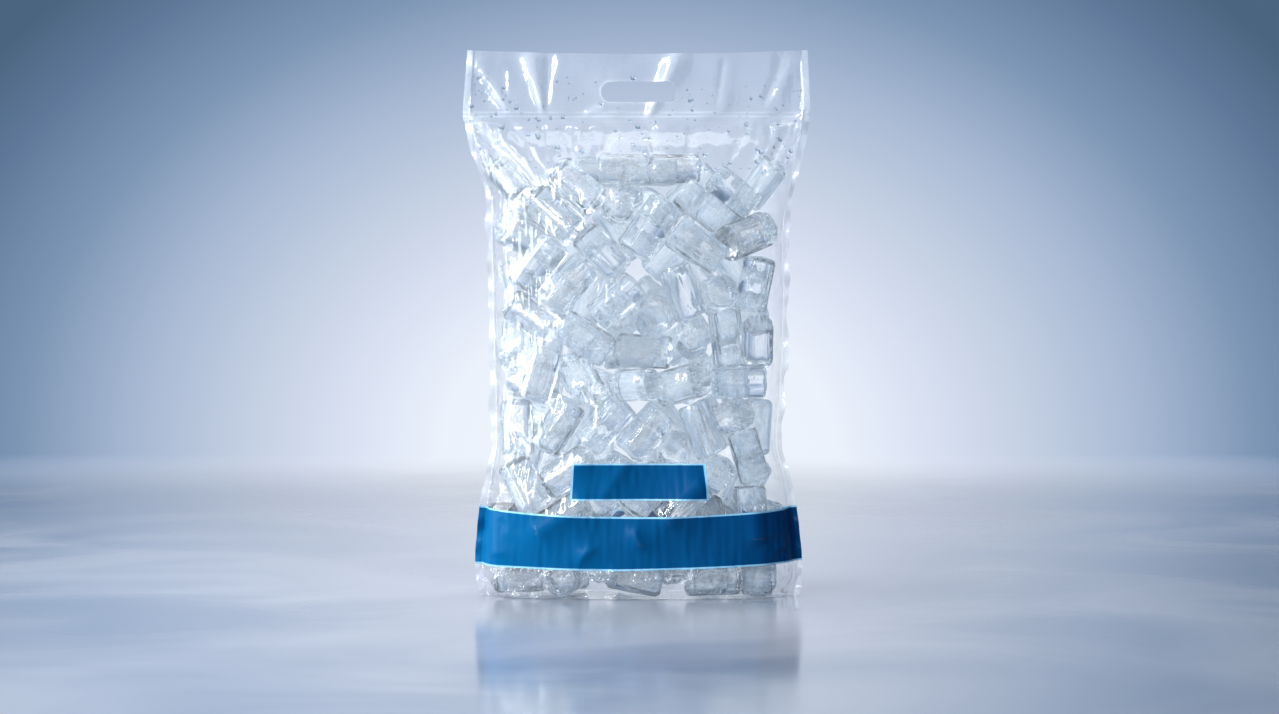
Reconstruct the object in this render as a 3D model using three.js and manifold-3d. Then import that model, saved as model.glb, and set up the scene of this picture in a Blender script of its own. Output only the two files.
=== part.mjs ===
// A clear plastic bag of cylinder ice, standing upright on its gusset.
//
// The bag is two panels of film, welded to each other down both sides and across the top of the fill, and
// closed below by a flat gusset. Above the cross weld the panels run on as a flat header with a die-cut hand
// hole. The fill is solid cylinders of clear ice. Those against the front panel are a node each, and the ones
// behind them are one heap, which fills the rear half of the bag.
//
// Millimetres, +Z up. The front faces -Y. The origin is on the floor, in the middle of the bag's footprint.
import * as THREE from "three";
import { mergeVertices } from "three/addons/utils/BufferGeometryUtils.js";
import Module from "manifold-3d";

const wasm = await Module();
wasm.setup();

// ---------------------------------------------------------------- driving dimensions

const FILM = 0.8; // drawn thicker than the real 0.1 mm film, so that it is a solid
const GAP = 0.6; // between the two panels where they are welded face to face
const FIN = 7; // width of the side weld, outside the filled part
const WELD_HEIGHT = 480; // the cross weld above the fill
const BAG_HEIGHT = 545;
const FILL_TOP = 440; // the highest the ice reaches
const FLAT = (GAP + 2 * FILM) / 2; // half the thickness of the bag where both panels lie flat

// The bag's outline from the floor up: height, reach to the left and to the right with the side welds, and
// half depth. The fill has slumped a little to the right of the header, and the film is pinched in at two
// heights.
const OUTLINE = [
  [0, 156, 162, 48],
  [14, 160, 165, 53],
  [38, 162, 166, 55],
  [90, 157, 160, 55],
  [120, 153, 155, 54],
  [150, 147, 146, 53],
  [200, 148, 151, 53],
  [300, 151, 155, 53],
  [365, 152, 153, 52],
  [398, 151, 159, 47],
  [422, 161, 163, 40],
  [445, 167, 168, 27],
  [465, 171, 172, 12],
  [WELD_HEIGHT, 174, 174, FLAT],
  [BAG_HEIGHT, 169, 171, FLAT],
];

// A level section of the filled part is a superellipse: flat in front and behind, with round sides.
const SIDE_POWER = 3.2;
const FACE_POWER = 2.4;
const COLUMNS = 16;

const HOLE = { length: 75, height: 20, across: 2, middle: 504 };

const ICE = {
  radius: 17.1,
  length: 55,
  edge: 4.5, // rounding of the melted rims
  sides: 10,
  gap: 0.9, // kept free round each piece while the fill settles
  melt: 0.08, // lost all round once it has settled
};

// ---------------------------------------------------------------- colours

const film = new THREE.MeshStandardMaterial({
  color: 0xdfe8f2,
  roughness: 0.12,
  metalness: 0,
  transparent: true,
  opacity: 0.25,
});
const ice = new THREE.MeshStandardMaterial({
  color: 0xd4e2ee,
  roughness: 0.08,
  metalness: 0,
  transparent: true,
  opacity: 0.5,
});

// ---------------------------------------------------------------- the outline as a function of height

// Reach to the left, reach to the right and half depth at a height, on straight lines between OUTLINE's rows.
function outlineAt(z) {
  const above = Math.max(OUTLINE.findIndex((row) => row[0] >= z), 1);
  const [low, high] = [OUTLINE[above - 1], OUTLINE[above]];
  const share = Math.max(z - low[0], 0) / (high[0] - low[0]);
  return low.slice(1).map((size, i) => size + share * (high[i + 1] - size));
}

// How far a point is past the superellipse whose sides lie inset inside the bag's outline: negative inside.
// It is the same on both sides, so a piece that is inside it stays inside when it is turned half a turn.
function pastOutline(x, y, z, inset) {
  const [left, right, halfDepth] = outlineAt(z);
  const across = Math.abs(x) / (Math.min(left, right) - FIN - inset);
  const deep = Math.abs(y) / Math.max(halfDepth - inset, 1);
  return across ** SIDE_POWER + deep ** FACE_POWER - 1;
}

// Half depth of the superellipse, as a share of its middle's, at a share of the way across.
function bulge(across) {
  return (1 - Math.abs(across) ** SIDE_POWER) ** (1 / FACE_POWER);
}

// ---------------------------------------------------------------- solids

// A closed mesh as a manifold solid, and back as a three.js geometry.
function toSolid(geometry) {
  const bare = geometry.clone();
  bare.deleteAttribute("normal");
  bare.deleteAttribute("uv");
  const merged = mergeVertices(bare, 1e-4);
  return new wasm.Manifold(
    new wasm.Mesh({
      numProp: 3,
      vertProperties: new Float32Array(merged.attributes.position.array),
      triVerts: new Uint32Array(merged.index.array),
    }),
  );
}

function toGeometry(solid) {
  const mesh = solid.getMesh();
  const geometry = new THREE.BufferGeometry();
  geometry.setAttribute("position", new THREE.BufferAttribute(mesh.vertProperties, 3));
  geometry.setIndex(new THREE.BufferAttribute(mesh.triVerts, 1));
  geometry.computeVertexNormals();
  return geometry;
}

// A closed solid between two grids of points that match, one in front (towards -Y) and one behind it.
function between(front, back) {
  const rows = front.length;
  const columns = front[0].length;
  const points = [...front.flat(), ...back.flat()];
  const at = (layer, row, column) => (layer * rows + row) * columns + column;
  const faces = [];
  const quad = (a, b, c, d) => faces.push(a, b, c, a, c, d);
  for (let r = 0; r + 1 < rows; r++) {
    for (let c = 0; c + 1 < columns; c++) {
      quad(at(0, r, c), at(0, r, c + 1), at(0, r + 1, c + 1), at(0, r + 1, c));
      quad(at(1, r, c), at(1, r + 1, c), at(1, r + 1, c + 1), at(1, r, c + 1));
    }
    quad(at(0, r, 0), at(0, r + 1, 0), at(1, r + 1, 0), at(1, r, 0));
    quad(at(0, r, columns - 1), at(1, r, columns - 1), at(1, r + 1, columns - 1), at(0, r + 1, columns - 1));
  }
  for (let c = 0; c + 1 < columns; c++) {
    quad(at(0, 0, c), at(1, 0, c), at(1, 0, c + 1), at(0, 0, c + 1));
    quad(at(0, rows - 1, c), at(0, rows - 1, c + 1), at(1, rows - 1, c + 1), at(1, rows - 1, c));
  }
  const geometry = new THREE.BufferGeometry();
  geometry.setAttribute("position", new THREE.Float32BufferAttribute(points.flat(), 3));
  geometry.setIndex(faces);
  return geometry;
}

// ---------------------------------------------------------------- film

// One row of a panel's outer face: in along the fin, round the filled part and out to the other fin. The
// front panel's side is -1 and the rear one's 1. inset moves the row inwards, which gives the inner face.
function panelRow([z, left, right, halfDepth], side, inset) {
  const flat = side * (FLAT - inset);
  const row = [[-left, flat, z]];
  for (let c = 0; c <= COLUMNS; c++) {
    const across = -Math.cos((c / COLUMNS) * Math.PI);
    const reach = (across < 0 ? left : right) - FIN - inset * Math.abs(across) ** 6;
    const deep = FLAT + (halfDepth - FLAT) * bulge(across);
    row.push([across * reach, side * (deep - inset), z]);
  }
  row.push([right, flat, z]);
  return row;
}

function handHole() {
  const radius = HOLE.height / 2;
  const straight = HOLE.length / 2 - radius;
  const outline = new THREE.Shape();
  outline.moveTo(-straight, -radius);
  outline.absarc(straight, 0, radius, -Math.PI / 2, Math.PI / 2);
  outline.absarc(-straight, 0, radius, Math.PI / 2, (3 * Math.PI) / 2);
  const depth = 12;
  const cutter = new THREE.ExtrudeGeometry(outline, { depth, bevelEnabled: false, curveSegments: 8 });
  cutter.translate(0, 0, -depth / 2);
  cutter.rotateX(Math.PI / 2);
  cutter.translate(HOLE.across, 0, HOLE.middle);
  return toSolid(cutter);
}

// A panel from the floor to the top of the header, with its half of the hand hole.
function filmPanel(side) {
  const outer = OUTLINE.map((row) => panelRow(row, side, 0));
  const inner = OUTLINE.map((row) => panelRow(row, side, FILM));
  const sheet = side < 0 ? between(outer, inner) : between(inner, outer);
  return toGeometry(toSolid(sheet).subtract(handHole()));
}

// The gusset lies flat on the floor, inside the panels' lower edges.
function baseFilm() {
  const [, left, right, halfDepth] = OUTLINE[0];
  const outline = new THREE.Shape();
  for (const side of [-1, 1]) {
    for (let c = 0; c < COLUMNS; c++) {
      const across = side * Math.cos((c / COLUMNS) * Math.PI);
      const x = across * ((across < 0 ? left : right) - FIN - 4);
      const y = side * bulge(across) * (halfDepth - 3);
      if (side < 0 && c === 0) {
        outline.moveTo(x, y);
      } else {
        outline.lineTo(x, y);
      }
    }
  }
  return new THREE.ExtrudeGeometry(outline, { depth: FILM, bevelEnabled: false });
}

// ---------------------------------------------------------------- ice

// The cylinders against the front panel, from the floor up, as they were dropped in: across, up and in from
// the middle of the bag, the axis's turn in the plane of the panel, its lean towards the front, and its size.
const LAYER = [
  // on the gusset
  [-126, 22, -26, 20, 0, 0.95],
  [-84, 24, -26, -10, 55, 1],
  [-38, 26, -30, -38, 10, 1],
  [8, 22, -26, 6, 0, 1],
  [54, 26, -28, 32, 40, 1],
  [98, 22, -24, -14, 0, 1],
  [138, 32, -16, 64, 0, 0.95],
  [-133, 64, -20, 75, 0, 1],
  [-67, 62, -28, -25, 5, 1.05],
  [0, 60, -26, 50, 30, 1],
  [79, 62, -28, -28, 0, 1.05],
  [139, 70, -20, -72, 0, 1],
  // behind the label
  [-125, 102, -24, -35, 8, 1],
  [-35, 98, -32, 44, -8, 1],
  [19, 98, -32, 42, 0, 1],
  [71, 98, -32, 45, -6, 1],
  [107, 116, -28, 0, 76, 1],
  [143, 126, -18, 72, 0, 0.95],
  [-75, 130, -30, 45, 0, 1],
  // the lower half of the bag
  [-136, 164, -14, -74, 0, 1],
  [-92, 180, -34, 42, -12, 1],
  [-53, 168, -32, 44, -6, 1],
  [-21, 192, -22, 12, 66, 0.95],
  [4, 160, -34, 44, -10, 1.02],
  [30, 204, -30, 10, 64, 1.08],
  [55, 160, -26, 0, 76, 1],
  [92, 176, -34, -62, 8, 1],
  [126, 170, -20, 20, 62, 0.95],
  [-109, 222, -32, 42, -20, 1],
  [-59, 214, -20, -38, 0, 1],
  [108, 204, -18, 8, 60, 1],
  // the middle
  [-127, 278, -26, -52, 10, 1],
  [-75, 254, -34, -50, 10, 1.02],
  [-12, 258, -32, 46, -20, 1.02],
  [63, 236, -26, 0, 74, 1],
  [96, 253, -34, -62, 8, 1],
  [137, 246, -18, 30, 60, 0.95],
  [-73, 296, -34, 41, -10, 1.02],
  [-28, 294, -28, 44, -5, 1],
  [22, 292, -28, -62, 64, 1.05],
  [53, 304, -34, -62, 10, 1],
  [92, 296, -26, 0, 72, 0.98],
  [141, 300, -14, 86, 0, 0.98],
  // the upper half
  [-100, 326, -34, 42, -18, 1.04],
  [-46, 338, -28, -48, 6, 1],
  [67, 342, -30, -48, 10, 1.04],
  [-89, 380, -34, -42, -8, 1.08],
  [20, 364, -32, 48, -12, 1.12],
  [126, 364, -26, 50, -10, 1.1],
  [-5, 388, -16, 2, 10, 0.95],
  [113, 390, -20, 0, 10, 0.95],
  // the top of the fill
  [-122, 408, -18, -62, 10, 0.95],
  [-57, 400, -28, -50, 34, 1],
  [-22, 418, -12, 2, 6, 0.9],
  [32, 420, -12, 8, 0, 0.92],
  [62, 402, -28, -50, 34, 0.94],
];

const STEPS = 2000; // rounds of settling
const RINGS = [-1, -0.6, -0.2, 0.2, 0.6, 1]; // where a piece's rings of test points lie along its side
const RING_POINTS = 8;
const FLOOR = FILM + 1.5;
const WALL = FILM + 1.6;

function dropped([x, z, y, turn, lean, size], index) {
  const [t, l] = [turn, lean].map(THREE.MathUtils.degToRad);
  return {
    name: `ice_${String(index + 1).padStart(2, "0")}`,
    centre: new THREE.Vector3(x, y, z),
    axis: new THREE.Vector3(Math.cos(l) * Math.cos(t), -Math.sin(l), Math.cos(l) * Math.sin(t)),
    radius: ICE.radius * size,
    length: ICE.length * size,
    shift: new THREE.Vector3(),
    swing: new THREE.Vector3(),
    touches: 0,
    points: [],
  };
}

// The points that stand for a piece's surface: rings round its side and its ends, and the ends' middles.
function surfacePoints(piece) {
  const { centre, axis, radius, length } = piece;
  const side = new THREE.Vector3(-axis.z, 0, axis.x);
  if (side.lengthSq() < 0.01) side.set(1, 0, 0);
  side.normalize();
  const other = new THREE.Vector3().crossVectors(axis, side);
  const points = [];
  const ring = (along, round) => {
    for (let i = 0; i < RING_POINTS; i++) {
      const turn = ((i + 0.5 * (points.length & 8 ? 1 : 0)) / RING_POINTS) * 2 * Math.PI;
      const point = centre.clone().addScaledVector(axis, along);
      point.addScaledVector(side, round * Math.cos(turn)).addScaledVector(other, round * Math.sin(turn));
      points.push(point);
    }
  };
  const straight = length / 2 - ICE.edge;
  for (const share of RINGS) ring(share * straight, radius);
  for (const end of [-1, 1]) {
    ring((end * length) / 2, radius - ICE.edge);
    ring(end * (length / 2 - ICE.edge * 0.3), radius - ICE.edge * 0.3);
    points.push(centre.clone().addScaledVector(axis, (end * length) / 2));
  }
  return points;
}

// How far a point is outside a rounded cylinder. out is set to the direction straight out of it.
function distanceTo(point, piece, out) {
  out.copy(point).sub(piece.centre);
  const along = out.dot(piece.axis);
  out.addScaledVector(piece.axis, -along);
  const off = out.length();
  const pastSide = off - (piece.radius - ICE.edge);
  const pastEnd = Math.abs(along) - (piece.length / 2 - ICE.edge);
  out.multiplyScalar(1 / Math.max(off, 1e-6));
  if (pastSide > 0 && pastEnd > 0) {
    const rim = Math.hypot(pastSide, pastEnd);
    out.multiplyScalar(pastSide / rim).addScaledVector(piece.axis, (Math.sign(along) * pastEnd) / rim);
    return rim - ICE.edge;
  }
  if (pastSide > pastEnd) return pastSide - ICE.edge;
  out.copy(piece.axis).multiplyScalar(Math.sign(along));
  return pastEnd - ICE.edge;
}

const HALF_TURN = new THREE.Vector3(-1, -1, 1);

// The same piece in the rear half of the bag.
function halfTurned(piece) {
  return {
    ...piece,
    centre: piece.centre.clone().multiply(HALF_TURN),
    axis: piece.axis.clone().multiply(HALF_TURN),
    owner: piece,
  };
}

// Adds a push at a point of a piece. It moves the piece, and its moment about the centre swings the axis.
const arm = new THREE.Vector3();
function press(piece, point, push) {
  piece.shift.add(push);
  arm.copy(point).sub(piece.centre).cross(push);
  piece.swing.addScaledVector(arm, 1 / (piece.length ** 2 / 12 + piece.radius ** 2 / 4));
  piece.touches++;
}

// Pushes apart one piece and another, or its copy in the rear half, wherever they are closer than the gap.
const out = new THREE.Vector3();
const mirroredPoint = new THREE.Vector3();
function separate(piece, other) {
  for (const point of piece.points) {
    const short = ICE.gap - distanceTo(point, other, out);
    if (short <= 0) continue;
    press(piece, point, out.multiplyScalar(short / 2));
    out.multiplyScalar(-1);
    if (other.owner) {
      press(other.owner, mirroredPoint.copy(point).multiply(HALF_TURN), out.multiply(HALF_TURN));
    } else {
      press(other, point, out);
    }
  }
}

// Pushes a piece in from the film, up from the gusset and down from the top of the fill.
function hold(piece) {
  for (const point of piece.points) {
    if (point.z < FLOOR) press(piece, point, out.set(0, 0, FLOOR - point.z));
    if (point.z > FILL_TOP) press(piece, point, out.set(0, 0, FILL_TOP - point.z));
    const past = pastOutline(point.x, point.y, point.z, WALL);
    if (past <= 0) continue;
    const step = 0.5;
    const slope = [
      [step, 0, 0],
      [0, step, 0],
      [0, 0, step],
    ].map((d) => (pastOutline(point.x + d[0], point.y + d[1], point.z + d[2], WALL) - past) / step);
    out.set(...slope);
    out.multiplyScalar(-past / Math.max(out.lengthSq(), 1e-6)).clampLength(0, 4);
    press(piece, point, out);
  }
}

// Two cylinders lying across each other touch between their test points, so their axes are kept apart too.
function separateAxes(piece, other) {
  const between = piece.centre.clone().sub(other.centre);
  const dot = piece.axis.dot(other.axis);
  const scale = 1 - dot * dot;
  if (scale < 0.01) return;
  const a = piece.axis.dot(between);
  const b = other.axis.dot(between);
  const onPiece = (dot * b - a) / scale;
  const onOther = (b - dot * a) / scale;
  if (Math.abs(onPiece) > piece.length / 2 - 1 || Math.abs(onOther) > other.length / 2 - 1) return;
  const point = piece.centre.clone().addScaledVector(piece.axis, onPiece);
  const line = point.clone().sub(other.centre).addScaledVector(other.axis, -onOther);
  const short = piece.radius + other.radius + ICE.gap - line.length();
  if (short <= 0) return;
  press(piece, point, line.normalize().multiplyScalar(short / 2));
  line.multiplyScalar(-1);
  if (other.owner) {
    press(other.owner, point.multiply(HALF_TURN), line.multiply(HALF_TURN));
  } else {
    press(other, point, line);
  }
}

// Lets the pieces push each other apart until none overlap, inside the film.
function settle(pieces) {
  for (let step = 0; step < STEPS; step++) {
    for (const piece of pieces) {
      piece.points = surfacePoints(piece);
    }
    const rear = pieces.map(halfTurned);
    pieces.forEach((piece, i) => {
      for (const other of [...pieces.slice(0, i), ...pieces.slice(i + 1), ...rear]) {
        const reach = (piece.length + other.length) / 2 + 8;
        if (piece.centre.distanceToSquared(other.centre) > reach * reach) continue;
        separate(piece, other);
        separateAxes(piece, other);
      }
      hold(piece);
    });
    for (const piece of pieces) {
      if (!piece.touches) continue;
      const share = 1.6 / Math.sqrt(piece.touches + 2);
      piece.centre.addScaledVector(piece.shift, share * 0.5);
      piece.swing.multiplyScalar(share * 0.5).clampLength(0, 0.05);
      piece.axis.add(arm.copy(piece.swing).cross(piece.axis)).normalize();
      piece.shift.set(0, 0, 0);
      piece.swing.set(0, 0, 0);
      piece.touches = 0;
    }
  }
  return pieces;
}

// A cylinder along Z with rims cut back, made larger all round by grow.
function iceGeometry({ radius, length }, grow = 0) {
  const [r, h, c] = [radius + grow, length / 2 + grow, ICE.edge * 0.8];
  const profile = [
    [0, -h],
    [r - c, -h],
    [r, -h + c],
    [r, h - c],
    [r - c, h],
    [0, h],
  ].map(([x, y]) => new THREE.Vector2(x, y));
  return new THREE.LatheGeometry(profile, ICE.sides).rotateX(Math.PI / 2);
}

function place(object, piece) {
  object.position.copy(piece.centre);
  object.quaternion.setFromUnitVectors(new THREE.Vector3(0, 0, 1), piece.axis);
  return object;
}

const HEAP_COLUMNS = 12;

// The heap behind the front layer, as one solid: the rear half of the fill, less the front pieces that reach
// into it.
function heapBehind(pieces) {
  const top = 425;
  const clear = 4;
  const heights = OUTLINE.map((row) => row[0]).filter((z) => z >= 14 && z < top);
  const levels = [FLOOR, ...heights, top].map((z) => [z, ...outlineAt(z)]);
  const grids = [0, 1].map((back) =>
    levels.map(([z, left, right, halfDepth]) => {
      const row = [];
      for (let c = 0; c <= HEAP_COLUMNS; c++) {
        const across = -Math.cos((c / HEAP_COLUMNS) * Math.PI);
        const x = across * ((across < 0 ? left : right) - FIN - 2 * clear);
        row.push([x, back ? 3 + (halfDepth - clear - 3) * bulge(across) : 1, z]);
      }
      return row;
    }),
  );
  let heap = toSolid(between(...grids));
  for (const piece of pieces) {
    const holder = place(new THREE.Mesh(iceGeometry(piece, ICE.gap)), piece);
    holder.updateMatrixWorld();
    heap = heap.subtract(toSolid(holder.geometry.clone().applyMatrix4(holder.matrixWorld)));
  }
  const bodies = heap.decompose().sort((a, b) => b.volume() - a.volume());
  return toGeometry(bodies[0]);
}

// ---------------------------------------------------------------- the bag

function named(name, geometry, material) {
  const mesh = new THREE.Mesh(geometry, material);
  mesh.name = name;
  return mesh;
}

const bag = new THREE.Group();

bag.add(named("front_film", filmPanel(-1), film));
bag.add(named("back_film", filmPanel(1), film));
bag.add(named("base_film", baseFilm(), film));

const layer = settle(LAYER.map(dropped));
for (const piece of layer) {
  bag.add(place(named(piece.name, iceGeometry(piece, -ICE.melt), ice), piece));
}
bag.add(named("ice_behind", heapBehind(layer), ice));

export default bag;
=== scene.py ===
import math

import bpy
import numpy as np
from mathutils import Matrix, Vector


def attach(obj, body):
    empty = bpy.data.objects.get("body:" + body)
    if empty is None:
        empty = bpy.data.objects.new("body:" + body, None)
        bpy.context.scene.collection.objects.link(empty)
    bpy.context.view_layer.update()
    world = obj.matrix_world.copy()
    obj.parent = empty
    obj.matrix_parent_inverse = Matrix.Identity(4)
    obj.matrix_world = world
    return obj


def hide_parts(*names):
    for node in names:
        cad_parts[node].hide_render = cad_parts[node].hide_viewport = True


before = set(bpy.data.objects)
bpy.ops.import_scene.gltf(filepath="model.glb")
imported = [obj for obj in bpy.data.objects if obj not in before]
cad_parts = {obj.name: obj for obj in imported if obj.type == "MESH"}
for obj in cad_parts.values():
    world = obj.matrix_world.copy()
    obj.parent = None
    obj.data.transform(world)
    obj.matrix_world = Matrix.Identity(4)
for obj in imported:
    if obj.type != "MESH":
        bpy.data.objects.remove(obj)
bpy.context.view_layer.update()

# ---------------------------------------------------------------- the ice
# Solid cylinders of clear ice, frozen in upright tubes and cut to length. The tube leaves faint flutes along each
# one, the cut ends are dimpled and frosted, and melting has rounded the rims. The rear half of the fill lies as
# the front half does, turned half a turn about the upright axis.

RIM = 0.0045  # rounding of the melted rims
FLUTE = 0.00032  # depth of the flutes the tube leaves
random = np.random.default_rng(11)


def linear(colour):
    """sRGB hex to linear red, green, blue and 1, by the sRGB curve."""
    parts = np.array([int(colour[i : i + 2], 16) / 255 for i in (1, 3, 5)])
    curve = np.where(parts <= 0.04045, parts / 12.92, ((parts + 0.055) / 1.055) ** 2.4)
    return (*map(float, curve), 1.0)


def material(name):
    """A new node material, empty but for its output."""
    made = bpy.data.materials.new(name)
    made.use_nodes = True
    made.node_tree.nodes.clear()
    return made, made.node_tree.nodes.new("ShaderNodeOutputMaterial")


def node(made, kind, links=(), **settings):
    """Adds a node. A setting with a socket's name sets that socket, and any other is a property of the node."""
    added = made.node_tree.nodes.new("ShaderNode" + kind)
    for key, value in settings.items():
        if not any(s.name.replace(" ", "_").lower() == key for s in added.inputs):
            setattr(added, key, value)
    for key, value in settings.items():
        for socket in [s for s in added.inputs if s.name.replace(" ", "_").lower() == key and s.enabled][:1]:
            socket.default_value = value
    for key, source in dict(links).items():
        made.node_tree.links.new(source, added.inputs[key])
    return added


def add_mesh(name, points, faces, finish, attributes=()):
    """A mesh object from vertices and a list of arrays of faces, each array with faces of one size."""
    mesh = bpy.data.meshes.new(name)
    mesh.vertices.add(len(points))
    mesh.vertices.foreach_set("co", np.asarray(points, dtype=np.float32).ravel())
    loops = np.concatenate([f.ravel() for f in faces]).astype(np.int32)
    sizes = np.concatenate([np.full(len(f), f.shape[1]) for f in faces])
    mesh.loops.add(len(loops))
    mesh.loops.foreach_set("vertex_index", loops)
    mesh.polygons.add(len(sizes))
    mesh.polygons.foreach_set("loop_start", (np.cumsum(sizes) - sizes).astype(np.int32))
    mesh.polygons.foreach_set("use_smooth", np.ones(len(sizes), dtype=bool))
    mesh.update(calc_edges=True)
    mesh.validate()
    for key, values in dict(attributes).items():
        kind, field = ("FLOAT_VECTOR", "vector") if values.shape[-1] == 3 and values.ndim == 2 else ("FLOAT", "value")
        mesh.attributes.new(key, kind, "POINT").data.foreach_set(field, values.astype(np.float32).ravel())
    mesh.materials.append(finish)
    made = bpy.data.objects.new(name, mesh)
    bpy.context.scene.collection.objects.link(made)
    return made


def capsule_faces(rings, columns, start=0):
    """Faces of a closed surface of rings between two poles: vertices are the rings in order, then the two poles."""
    ring, column = np.meshgrid(np.arange(rings - 1), np.arange(columns), indexing="ij")
    after = (column + 1) % columns
    here, above = ring * columns, (ring + 1) * columns
    quads = np.stack([here + column, here + after, above + after, above + column], -1)
    column = np.arange(columns)
    after = (column + 1) % columns
    low, high = rings * columns, rings * columns + 1
    bottom = np.stack([np.full(columns, low), after, column], -1)
    last = (rings - 1) * columns
    top = np.stack([np.full(columns, high), last + column, last + after], -1)
    return quads.reshape(-1, 4) + start, np.concatenate([bottom, top]) + start


def lie_of(name):
    """Where a cylinder lies in the CAD: its middle, its axis, its radius and its half length, by principal axes."""
    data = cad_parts[name].data
    points = np.empty(len(data.vertices) * 3)
    data.vertices.foreach_get("co", points)
    points = np.unique(points.reshape(-1, 3).round(5), axis=0)
    low_high = (points.max(0) + points.min(0)) / 2
    axis = np.linalg.eigh(np.cov((points - points.mean(0)).T))[1][:, 2]
    along = (points - low_high) @ axis
    middle = low_high + axis * (along.max() + along.min()) / 2
    off = points - middle
    off = off - np.outer(off @ axis, axis)
    middle = middle + off.mean(0)
    return middle, axis, np.linalg.norm(off - off.mean(0), axis=1).max(), (along.max() - along.min()) / 2


def cylinder_of_ice(middle, axis, radius, half, columns, rings, seed):
    """A rounded cylinder. The profile goes up one end, round the rim, along the side and over the other end.

    Its radius varies by a few waves round and along it, which are the flutes and the melting, and the ends are
    dimpled by waves across them. Also gives each point's place in the cylinder's own axes, with the length drawn in
    to an eighth, for streaks that run along it, and how far it is onto an end.
    """
    own = np.random.default_rng(seed)
    side = np.linspace(-1, 1, rings - 18) * (half - RIM)
    bend = np.linspace(0, 90, 7)[:-1] * math.pi / 180
    flat = np.array([0.35, 0.68, 0.92]) * (radius - RIM)
    low_r = np.concatenate([flat, radius - RIM + RIM * np.sin(bend)])
    low_h = np.concatenate([np.full(3, -half), -half + RIM - RIM * np.cos(bend)])
    profile_r = np.concatenate([low_r, np.full(len(side), radius), low_r[::-1]])
    profile_h = np.concatenate([low_h, side, -low_h[::-1]])
    turn = np.arange(columns) / columns * 2 * math.pi
    r, t = np.meshgrid(profile_r, turn, indexing="ij")
    h = np.broadcast_to(profile_h[:, None], r.shape).copy()
    share = r / radius
    phase = own.uniform(0, 2 * math.pi, 12)
    flutes = sum(
        np.cos(count * t + phase[i] + 0.5 * np.sin(h * 60 + phase[i + 6])) * weight
        for i, (count, weight) in enumerate([(5, 1.0), (8, 0.9), (11, 0.8), (15, 0.6)])
    )
    melt = 0.012 * np.cos(2 * t + phase[4]) + 0.02 * np.cos(h / half * 1.9 + phase[5]) * np.cos(t + phase[10])
    r = r * (0.985 + melt * 0.6) - np.clip(share, 0, 1) ** 6 * FLUTE * own.uniform(0.5, 1.5) * (flutes + 1.5)
    x = r * np.cos(t)
    y = r * np.sin(t)
    end = np.clip((np.abs(h) - half + RIM * 1.6) / RIM, 0, 1)
    dimple = np.cos(x * own.uniform(250, 420) + phase[8]) * np.cos(y * own.uniform(250, 420) + phase[9])
    slope = own.uniform(-0.05, 0.05, 2)
    h = h + end * (x * slope[0] + y * slope[1]) - np.sign(h) * end * (0.0006 + 0.0005 * dimple)
    across = np.cross(axis, [0.3, 0.5, 0.81])
    across = across / np.linalg.norm(across)
    other = np.cross(axis, across)
    points = middle + x[..., None] * across + y[..., None] * other + h[..., None] * axis
    poles = middle + np.outer([h[0].mean(), h[-1].mean()], axis)
    grain = np.stack([x, y, h / 8], -1).reshape(-1, 3)
    grain = np.concatenate([grain, [[0, 0, h[0].mean() / 8], [0, 0, h[-1].mean() / 8]]]) + seed * 0.37
    on_end = np.concatenate([end.ravel(), [1, 1]]) * own.uniform(0.2, 1.0)
    return np.concatenate([points.reshape(-1, 3), poles]), {"grain": grain, "end": on_end}


# Ice refracts at 1.31 and is almost without colour. Streaks a few millimetres apart run along each cylinder where it
# froze against the tube, fine air makes it milky in patches, and the cut ends are frosted and crackled. The rear of
# the fill is made milkier than the front, so that it lights the front from behind. That extra white is painted light,
# standing in for light coming through the fill. No ice casts a shadow.


def ice_finish(name, onset, least, most):
    """Ice, glassy but for a milky share that goes from least to most as the noise of its air passes the onset."""
    made, out = material(name)
    along = node(made, "Attribute", attribute_name="grain").outputs["Vector"]
    on_end = node(made, "Attribute", attribute_name="end").outputs["Fac"]
    streaks = node(made, "TexNoise", {"Vector": along}, scale=300.0, detail=1.0, distortion=0.3).outputs["Fac"]
    crackle = node(made, "TexVoronoi", {"Vector": along}, scale=380.0).outputs["Distance"]
    dulled = node(made, "MapRange", {"Value": streaks}, from_min=0.58, from_max=0.8, to_min=0.0, to_max=0.16)
    frosted = node(made, "MapRange", {"Value": on_end}, from_min=0.1, to_min=0.0, to_max=0.18)
    both = {0: dulled.outputs["Result"], 1: frosted.outputs["Result"]}
    rough = node(made, "Math", both, operation="ADD").outputs[0]
    relief = node(made, "Mix", {0: on_end, 2: streaks, 3: crackle}).outputs[0]
    bump = node(made, "Bump", {"Height": relief}, strength=0.3, distance=0.0010).outputs["Normal"]
    glassy = node(
        made, "BsdfPrincipled", {"Roughness": rough, "Normal": bump},
        base_color=linear("#f8fcff"), ior=1.31, transmission_weight=1.0,
    )
    air = node(made, "TexNoise", {"Vector": along}, scale=240.0, detail=2.0).outputs["Fac"]
    milky = node(made, "MapRange", {"Value": air}, from_min=onset, from_max=onset + 0.25, to_min=least, to_max=most)
    lit = node(made, "BsdfDiffuse", {"Normal": bump}, color=linear("#eaf3fa")).outputs[0]
    lit_through = node(made, "BsdfTranslucent", {"Normal": bump}, color=linear("#eaf3fa")).outputs[0]
    white = node(made, "MixShader", {1: lit, 2: lit_through}, fac=0.4).outputs[0]
    ice = node(made, "MixShader", {0: milky.outputs["Result"], 1: glassy.outputs[0], 2: white}).outputs[0]
    lamp = node(made, "LightPath").outputs["Is Shadow Ray"]
    lets_by = node(made, "BsdfTransparent", color=(0.985, 0.995, 1.0, 1.0)).outputs[0]
    through = node(made, "MixShader", {0: lamp, 1: ice, 2: lets_by}).outputs[0]
    made.node_tree.links.new(through, out.inputs["Surface"])
    return made


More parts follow.
